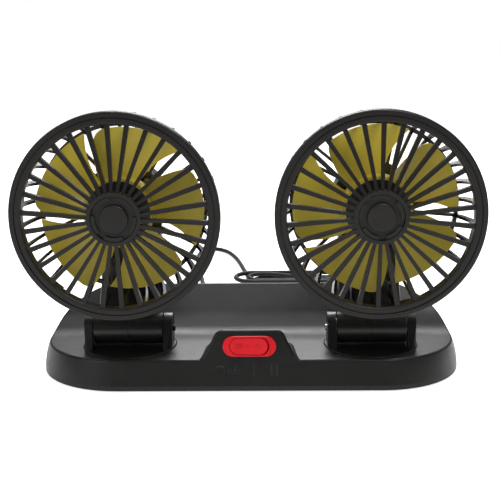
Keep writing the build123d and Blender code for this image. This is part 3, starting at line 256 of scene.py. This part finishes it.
def tinted(nodes, links, factor, dark, light):
    """Colour between a dark and a light one."""
    mix = nodes.new("ShaderNodeMix")
    mix.data_type = "RGBA"
    links.new(factor, mix.inputs["Factor"])
    mix.inputs["A"].default_value = (*dark, 1.0)
    mix.inputs["B"].default_value = (*light, 1.0)
    return mix.outputs["Result"]


def times(nodes, links, value, factor, added=None):
    """A value times a number or another value, with a third one added where given."""
    product = nodes.new("ShaderNodeMath")
    product.operation = "MULTIPLY_ADD" if added else "MULTIPLY"
    links.new(value, product.inputs[0])
    if isinstance(factor, float):
        product.inputs[1].default_value = factor
    else:
        links.new(factor, product.inputs[1])
    if added:
        links.new(added, product.inputs[2])
    return product.outputs["Value"]


def bumped(nodes, links, shader, heights):
    """Chains bumps, each a factor with its strength and height in millimetres."""
    normal = None
    for factor, strength, height in heights:
        bump = nodes.new("ShaderNodeBump")
        bump.inputs["Strength"].default_value = strength
        bump.inputs["Distance"].default_value = height * MM
        links.new(factor, bump.inputs["Height"])
        if normal:
            links.new(normal, bump.inputs["Normal"])
        normal = bump.outputs["Normal"]
    links.new(normal, shader.inputs["Normal"])


def moulded_plastic(
    name, colour, roughness, grain=PLAIN_GRAIN, grain_height=PLAIN_GRAIN_HEIGHT,
    spread=PLAIN_SPREAD, gloss=PLAIN_GLOSS,
):
    """Injection-moulded plastic: faint cloudiness, spark-eroded grain and handling marks."""
    material, nodes, links, shader = new_material(name)
    vector = object_position(nodes, links, EVEN_LINES)
    cloud = noise(nodes, links, vector, size=40.0, detail=2.0)
    fine = noise(nodes, links, vector, size=grain, detail=2.0, roughness=0.6)
    rub = noise(nodes, links, vector, size=9.0, detail=5.0, roughness=0.65)
    dark = tuple(value * (1.0 - spread) for value in colour)
    light = tuple(value * (1.0 + spread) for value in colour)
    links.new(tinted(nodes, links, cloud, dark, light), shader.inputs["Base Color"])
    rubbed = ramp(nodes, links, rub, low=roughness * 0.88, high=roughness * 1.12)
    links.new(rubbed, shader.inputs["Roughness"])
    shader.inputs["Specular IOR Level"].default_value = gloss
    bumped(nodes, links, shader, ((cloud, 0.25, 0.05), (fine, 0.35, grain_height)))
    return material


def plated_metal(name, colour, roughness, direction=EVEN_LINES):
    """Plated steel with fine lines along the turning direction."""
    material, nodes, links, shader = new_material(name)
    vector = object_position(nodes, links, direction)
    lines = noise(nodes, links, vector, size=0.25, detail=4.0, roughness=0.7)
    stain = noise(nodes, links, vector, size=5.0)
    dark = tuple(value * 0.82 for value in colour)
    links.new(tinted(nodes, links, stain, dark, colour), shader.inputs["Base Color"])
    lined = ramp(nodes, links, lines, low=roughness * 0.8, high=roughness * 1.3)
    links.new(lined, shader.inputs["Roughness"])
    shader.inputs["Metallic"].default_value = 1.0
    bumped(nodes, links, shader, ((lines, 0.2, 0.01),))
    return material


def cord_jacket(name, colour):
    """Soft cord jacket: low gloss with faint scuffs."""
    material, nodes, links, shader = new_material(name)
    vector = object_position(nodes, links, EVEN_LINES)
    scuff = noise(nodes, links, vector, size=3.0, detail=5.0, roughness=0.7)
    fine = noise(nodes, links, vector, size=0.5, detail=2.0)
    light = tuple(value * 1.8 for value in colour)
    links.new(tinted(nodes, links, scuff, colour, light), shader.inputs["Base Color"])
    links.new(ramp(nodes, links, scuff, low=0.42, high=0.6), shader.inputs["Roughness"])
    shader.inputs["Specular IOR Level"].default_value = 0.25
    bumped(nodes, links, shader, ((fine, 0.3, 0.03),))
    return material


def finish_nodes(material, *names):
    """Gives CAD nodes a material in every slot."""
    for name in names:
        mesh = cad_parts[name].data
        mesh.materials.clear()
        mesh.materials.append(material)


def both(*names):
    """Node names of the left and right head."""
    return [side + "_" + name for side in SIDES for name in names]


def curve_object(name, points, bevel):
    """Smooth open cord through a control polygon given in millimetres."""
    curve = bpy.data.curves.new(name, "CURVE")
    curve.dimensions = "3D"
    curve.bevel_depth = bevel * MM
    curve.bevel_resolution = CORD_ROUNDNESS
    curve.use_fill_caps = True
    spline = curve.splines.new("NURBS")
    spline.points.add(len(points) - 1)
    for item, point in zip(spline.points, points):
        item.co = (*(value * MM for value in point), 1.0)
    spline.order_u = CORD_ORDER
    spline.use_endpoint_u = True
    spline.resolution_u = CORD_STEPS
    piece = bpy.data.objects.new(name, curve)
    bpy.context.scene.collection.objects.link(piece)
    return piece


def turn_points(centre, radius, start, steps, height):
    """Control points round an arc, spaced so that the curve keeps the arc's radius."""
    pitch = pi / TURN_STEPS
    reach = radius / cos(pitch / 2)
    angles = [start + pitch * (step + 0.5) for step in range(steps)]
    return [
        (centre[0] + reach * cos(angle), centre[1] + reach * sin(angle), height) for angle in angles
    ]


def hank_points():
    """The hank's turns: in on the floor, up a layer along a run, and out again."""
    inward = [
        HANK_TURN_RADIUS - number * HANK_PITCH / 2 for number in range(1, 2 * HANK_LAYER_LOOPS)
    ]
    step = HANK_TURN_RADIUS * sin(pi / TURN_STEPS / 2) * 2
    half_turn = TURN_STEPS // 2
    low = CORD_REST
    high = CORD_REST + HANK_LAYER
    height = low
    line = HANK_MIDDLE - HANK_TURN_RADIUS
    points = [(HANK_LEFT - HANK_TURN_RADIUS, HANK_MIDDLE + HANK_TURN_RADIUS, low)]
    points += turn_points((HANK_LEFT, HANK_MIDDLE), HANK_TURN_RADIUS, pi, half_turn, low)
    place = HANK_LEFT
    way = 1
    for number, radius in enumerate(inward + inward[::-1]):
        far_end = (HANK_RIGHT if way > 0 else HANK_LEFT) + HANK_REACHES[number]
        points.append((place + way * step, line, height))
        height = high if number >= len(inward) else low
        points.append((far_end - way * step, line, height))
        centre = (far_end, line + way * radius)
        points += turn_points(centre, radius, -way * pi / 2, TURN_STEPS, height)
        place = far_end
        line += way * 2 * radius
        way = -way
    points += [(place + step, line, high), (HANK_RIGHT - step, line, high)]
    centre = (HANK_RIGHT, line + HANK_TURN_RADIUS)
    points += turn_points(centre, HANK_TURN_RADIUS, -pi / 2, half_turn, high)
    side = HANK_RIGHT + HANK_TURN_RADIUS
    along = line + HANK_TURN_RADIUS + CORD_DIAMETER
    points += [
        (side, along + HANK_END_HIGH, high),
        (side, along + HANK_END_LOW, PLUG_HEIGHT),
        (side, along + HANK_END_DROP, PLUG_HEIGHT),
        (side, along + HANK_END_DROP + CORD_DIAMETER, PLUG_HEIGHT),
    ]
    return points


def only(piece):
    """Leaves one object selected and active."""
    for item in bpy.context.selected_objects:
        item.select_set(False)
    piece.select_set(True)
    bpy.context.view_layer.objects.active = piece


def front_normal():
    """Outward direction of the leaning front."""
    return Vector((0.0, -cos(FRONT_LEAN), sin(FRONT_LEAN)))


def facing_front(across, up):
    """Place before the leaning front, and the turn that faces it."""
    rise = Vector((0.0, sin(FRONT_LEAN), cos(FRONT_LEAN)))
    place = Vector(SWITCH_PLACE) + Vector((across, 0.0, 0.0)) + up * rise
    place += MARK_STAND_OFF * front_normal()
    return {"location": place * MM, "rotation": (pi / 2 - FRONT_LEAN, 0.0, 0.0)}


def sized(piece, width, height):
    """Gives a flat piece its width and height in millimetres."""
    only(piece)
    bpy.context.view_layer.update()
    piece.scale.x *= width * MM / piece.dimensions.x
    piece.scale.y *= height * MM / piece.dimensions.y
    bpy.ops.object.transform_apply(location=False, rotation=False, scale=True)
    return piece


def mark_ring(across, up, width, height, stroke):
    """Flat upright oval ring."""
    bpy.ops.mesh.primitive_circle_add(
        vertices=RING_SIDES, radius=MM, fill_type="NGON", **facing_front(across, up))
    ring = sized(bpy.context.object, width, height)
    bpy.ops.object.mode_set(mode="EDIT")
    bpy.ops.mesh.select_all(action="SELECT")
    bpy.ops.mesh.inset(thickness=stroke * MM)
    bpy.ops.mesh.delete(type="FACE")
    bpy.ops.object.mode_set(mode="OBJECT")
    return ring


def mark_bar(across, up, width, height):
    """Flat level bar, cut up so that it can follow a curved face."""
    bpy.ops.mesh.primitive_plane_add(size=MM, **facing_front(across, up))
    bar = sized(bpy.context.object, width, height)
    bpy.ops.object.mode_set(mode="EDIT")
    bpy.ops.mesh.select_all(action="SELECT")
    bpy.ops.mesh.subdivide(number_cuts=BAR_CUTS)
    bpy.ops.object.mode_set(mode="OBJECT")
    return bar


def mark_word(word, across, up, width, height):
    """Flat word in plain capitals, made a mesh."""
    bpy.ops.object.text_add(**facing_front(across, up))
    text = bpy.context.object
    text.data.body = word
    text.data.align_x = "CENTER"
    text.data.align_y = "CENTER"
    only(text)
    bpy.ops.object.convert(target="MESH")
    return sized(bpy.context.object, width, height)


def rocker_skirt(material):
    """Rocker's lower body: an oval block whose ends stay round about the pivot."""
    place = Vector(SWITCH_PLACE) - ROCKER_PIVOT_DEPTH * front_normal()
    reaches = [(SKIRT_RADIUS ** 2 - level ** 2) ** 0.5 for level in SKIRT_LEVELS]
    bpy.ops.mesh.primitive_circle_add(
        vertices=SKIRT_SIDES, radius=SKIRT_HALF_HEIGHT * MM, fill_type="NGON",
        location=(0.0, 0.0, SKIRT_LEVELS[0] * MM))
    skirt = bpy.context.object
    skirt.name = "rocker_skirt"
    bpy.ops.object.transform_apply()
    spread = (reaches[0] - SKIRT_HALF_HEIGHT) * MM
    for vertex in skirt.data.vertices:
        vertex.co.x += spread if vertex.co.x > 0 else -spread
    bpy.ops.object.mode_set(mode="EDIT")
    bpy.ops.mesh.select_all(action="SELECT")
    levels = list(zip(SKIRT_LEVELS, reaches))
    for (low, wide), (high, narrow) in zip(levels, levels[1:]):
        bpy.ops.mesh.extrude_region_move(
            TRANSFORM_OT_translate={"value": (0.0, 0.0, (high - low) * MM)})
        bpy.ops.transform.resize(value=(narrow / wide, 1.0, 1.0))
    bpy.ops.mesh.select_all(action="SELECT")
    bpy.ops.mesh.normals_make_consistent(inside=False)
    bpy.ops.object.mode_set(mode="OBJECT")
    turn = Matrix.Rotation(pi / 2 - FRONT_LEAN, 4, "X") @ Matrix.Rotation(-ROCKER_TILT, 4, "Y")
    skirt.matrix_world = Matrix.Translation(place * MM) @ turn
    bpy.ops.object.transform_apply()
    skirt.data.materials.append(material)
    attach(skirt, "switch")


def raised(name, marks, target, proud, material, body):
    """Joins flat marks, lays them on a node's surface and raises them a little."""
    only(marks[0])
    for mark in marks:
        mark.select_set(True)
    bpy.ops.object.join()
    piece = bpy.context.object
    piece.name = name
    wrap = piece.modifiers.new("wrap", "SHRINKWRAP")
    wrap.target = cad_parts[target]
    wrap.wrap_method = "PROJECT"
    wrap.use_project_z = True
    wrap.use_negative_direction = True
    wrap.use_positive_direction = False
    wrap.project_limit = MARK_REACH * MM
    bpy.ops.object.modifier_apply(modifier=wrap.name)
    thick = piece.modifiers.new("thick", "SOLIDIFY")
    thick.thickness = 2 * proud
    thick.offset = 0.0
    bpy.ops.object.modifier_apply(modifier=thick.name)
    bpy.ops.object.transform_apply()
    piece.data.materials.clear()
    piece.data.materials.append(material)
    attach(piece, body)


class FAN_OT_stage(bpy.types.Operator):
    """Camera at the photograph's place, pale floor, white surroundings and soft lamps."""

    bl_idname = "car_fan.stage"
    bl_label = "Stage"

    def execute(self, context):
        scene = context.scene
        scene.view_settings.view_transform = "Standard"
        camera = bpy.data.cameras.new("camera")
        camera.lens = LENS_MM
        camera.sensor_width = SENSOR_MM
        camera.clip_end = CAMERA_REACH
        eye = bpy.data.objects.new("camera", camera)
        turn = (
            Matrix.Rotation(CAMERA_YAW, 4, "Z")
            @ Matrix.Rotation(pi / 2 - CAMERA_PITCH, 4, "X")
            @ Matrix.Rotation(CAMERA_ROLL, 4, "Z")
        )
        eye.matrix_world = Matrix.Translation(Vector(CAMERA_PLACE) * MM) @ turn
        scene.collection.objects.link(eye)
        scene.camera = eye
        self.floor()
        self.world(scene)
        strength = looks().key_strength
        for name, place, size, share in LAMPS:
            self.lamp(scene, name, place, size, strength * share)
        return {"FINISHED"}

    def floor(self):
        """White floor that keeps the object's shadow."""
        bpy.ops.mesh.primitive_plane_add(size=FLOOR_SIZE, location=(0.0, 0.0, -FLOOR_DROP))
        floor = bpy.context.object
        floor.name = "floor"
        material, nodes, links, shader = new_material("floor_white")
        shader.inputs["Base Color"].default_value = (*FLOOR_COLOUR, 1.0)
        shader.inputs["Roughness"].default_value = FLOOR_ROUGHNESS
        shader.inputs["Specular IOR Level"].default_value = 0.0
        path = nodes.new("ShaderNodeLightPath")
        dim = times(nodes, links, path.outputs["Is Glossy Ray"], FLOOR_GLOW_IN_GLOSS)
        glow = times(nodes, links, path.outputs["Is Camera Ray"], FLOOR_GLOW_TO_CAMERA, dim)
        shader.inputs["Emission Color"].default_value = (*WHITE, 1.0)
        links.new(glow, shader.inputs["Emission Strength"])
        floor.data.materials.append(material)

    def world(self, scene):
        """White surroundings to the camera and in gloss, dimmer in front and as light."""
        world = bpy.data.worlds.new("studio")
        world.use_nodes = True
        scene.world = world
        nodes = world.node_tree.nodes
        links = world.node_tree.links
        background = nodes["Background"]
        background.inputs["Color"].default_value = (*WHITE, 1.0)
        path = nodes.new("ShaderNodeLightPath")
        place = nodes.new("ShaderNodeTexCoord")
        split = nodes.new("ShaderNodeSeparateXYZ")
        links.new(place.outputs["Generated"], split.inputs["Vector"])
        behind = ramp(nodes, links, split.outputs["Y"], *BACK_GLOSS, *BACK_SPAN)
        above = ramp(nodes, links, split.outputs["Z"], *UP_GLOSS, *UP_SPAN)
        gloss = nodes.new("ShaderNodeMix")
        gloss.data_type = "FLOAT"
        gloss.inputs["A"].default_value = SURROUNDINGS_LIGHT
        links.new(path.outputs["Is Glossy Ray"], gloss.inputs["Factor"])
        links.new(times(nodes, links, behind, above), gloss.inputs["B"])
        eye = nodes.new("ShaderNodeMix")
        eye.data_type = "FLOAT"
        eye.inputs["B"].default_value = 1.0
        links.new(path.outputs["Is Camera Ray"], eye.inputs["Factor"])
        links.new(gloss.outputs["Result"], eye.inputs["A"])
        links.new(eye.outputs["Result"], background.inputs["Strength"])

    def lamp(self, scene, name, place, size, power):
        """Square soft lamp that looks at the fan."""
        light = bpy.data.lights.new(name, "AREA")
        light.size = size
        light.energy = power
        lamp = bpy.data.objects.new(name, light)
        way = Vector((0.0, 0.0, FAN_HEIGHT * MM)) - Vector(place)
        turn = way.to_track_quat("-Z", "Y").to_matrix().to_4x4()
        lamp.matrix_world = Matrix.Translation(Vector(place)) @ turn
        scene.collection.objects.link(lamp)


class FAN_OT_cord(bpy.types.Operator):
    """The cord with its loop and hank, the strain relief and the plug."""

    bl_idname = "car_fan.cord"
    bl_label = "Cord"

    def execute(self, context):
        jacket = cord_jacket("cord_black", JACKET_COLOUR)
        cord = curve_object("cord", [*CORD_ROUTE, *hank_points()], CORD_DIAMETER / 2)
        cord.data.materials.append(jacket)
        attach(cord, "base")
        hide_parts("power_cord", "cord_hank")
        plug = moulded_plastic("plug_black", PLUG_COLOUR, *PLUG_FINISH)
        finish_nodes(plug, "usb_plug", "strain_relief")
        finish_nodes(plated_metal("plug_steel", *PLUG_STEEL), "usb_shell")
        return {"FINISHED"}


class FAN_OT_base(bpy.types.Operator):
    """Finish of the base shell, cover, mat, the parts inside and the screws."""

    bl_idname = "car_fan.base"
    bl_label = "Base"

    def execute(self, context):
        shell = moulded_plastic("base_black", tuple(looks().base_colour), *SHELL_FINISH)
        finish_nodes(shell, "base_shell", "bottom_cover")
        mat = moulded_plastic("mat_black", MAT_COLOUR, *MAT_FINISH)
        finish_nodes(mat, "non_slip_mat")
        board = moulded_plastic("board_green", BOARD_COLOUR, *BOARD_FINISH)
        finish_nodes(board, "circuit_board")
        body = moulded_plastic("switch_body_black", SWITCH_BODY_COLOUR, *SWITCH_BODY_FINISH)
        finish_nodes(body, "switch_body")
        steel = plated_metal("zinc_steel", *ZINC_STEEL)
        finish_nodes(steel, "base_screws", "right_tilt_bolt", "right_tilt_nut", *both(
            "retainer_screws", "tilt_washers", "neck_screws", "guard_screws", "motor_shaft"))
        blackened = plated_metal("blackened_steel", *BLACKENED_STEEL)
        finish_nodes(blackened, "left_tilt_bolt", "left_tilt_nut")
        return {"FINISHED"}


class FAN_OT_heads(bpy.types.Operator):
    """Finish of the turntables, necks, guards, rotors and motors."""

    bl_idname = "car_fan.heads"
    bl_label = "Heads"

    def execute(self, context):
        neck = moulded_plastic("neck_black", tuple(looks().neck_colour), *NECK_FINISH)
        finish_nodes(neck, *both(
            "turntable", "turntable_retainer", "neck_inner_half", "neck_outer_half"))
        guard_colour = tuple(looks().guard_colour)
        guard = moulded_plastic("guard_black", guard_colour, *GUARD_FINISH)
        finish_nodes(guard, *both("front_guard", "hub_cap"))
        rear = moulded_plastic("rear_guard_black", guard_colour, *REAR_GUARD_FINISH)
        finish_nodes(rear, *both("rear_guard"))
        hub = moulded_plastic("rotor_hub_black", HUB_COLOUR, *HUB_FINISH)
        finish_nodes(hub, *both("rotor_hub"))
        blade = moulded_plastic("blade_yellow", tuple(looks().blade_colour), *BLADE_FINISH)
        finish_nodes(blade, *both("rotor_blades"))
        motor = plated_metal("motor_steel", *MOTOR_STEEL, ROUND_LINES)
        finish_nodes(motor, *both("motor"))
        return {"FINISHED"}


class FAN_OT_switch(bpy.types.Operator):
    """Finish of the rocker and its bezel, the rocker's skirt, and the marks."""

    bl_idname = "car_fan.switch"
    bl_label = "Switch"

    def execute(self, context):
        red = moulded_plastic("switch_red", tuple(looks().switch_colour), *SWITCH_FINISH)
        finish_nodes(red, "switch_bezel", "switch_rocker")
        dark_red = moulded_plastic("mark_red", MARK_COLOUR, *MARK_FINISH)
        rocker_skirt(red)
        proud = looks().mark_height
        marks = [mark_ring(*MARK_RING, MARK_STROKE)]
        marks += [mark_bar(across, up, width, MARK_STROKE) for across, up, width in MARK_BARS]
        raised("rocker_marks", marks, "switch_rocker", proud, dark_red, "switch")
        words = [
            mark_word(word, across, LEGEND_UP, width, LEGEND_HEIGHT)
            for word, across, width in LEGEND_WORDS
        ]
        legend = moulded_plastic("legend_black", LEGEND_COLOUR, *LEGEND_FINISH)
        raised("legend", words, "base_shell", LEGEND_RISE * MM, legend, "base")
        return {"FINISHED"}


class FAN_PT_panel(bpy.types.Panel):
    """Sidebar panel that lists the steps."""

    bl_idname = "FAN_PT_panel"
    bl_label = "Car fan"
    bl_space_type = "VIEW_3D"
    bl_region_type = "UI"
    bl_category = "Car fan"

    def draw(self, context):
        for name in FanLooks.__annotations__:
            self.layout.prop(context.scene.car_fan_looks, name)
        for operator in OPERATORS:
            self.layout.operator(operator.bl_idname)


OPERATORS = (FAN_OT_stage, FAN_OT_cord, FAN_OT_base, FAN_OT_heads, FAN_OT_switch)
CLASSES = (FanLooks, *OPERATORS, FAN_PT_panel)


def register():
    """Registers the classes and puts the properties on the scene."""
    for item in CLASSES:
        bpy.utils.register_class(item)
    bpy.types.Scene.car_fan_looks = PointerProperty(type=FanLooks)


def unregister():
    """Takes the properties and the classes away again."""
    del bpy.types.Scene.car_fan_looks
    for item in reversed(CLASSES):
        bpy.utils.unregister_class(item)


def main():
    """Runs every step in order."""
    register()
    for operator in OPERATORS:
        group, name = operator.bl_idname.split(".")
        getattr(getattr(bpy.ops, group), name)()


if __name__ == "__main__":
    main()
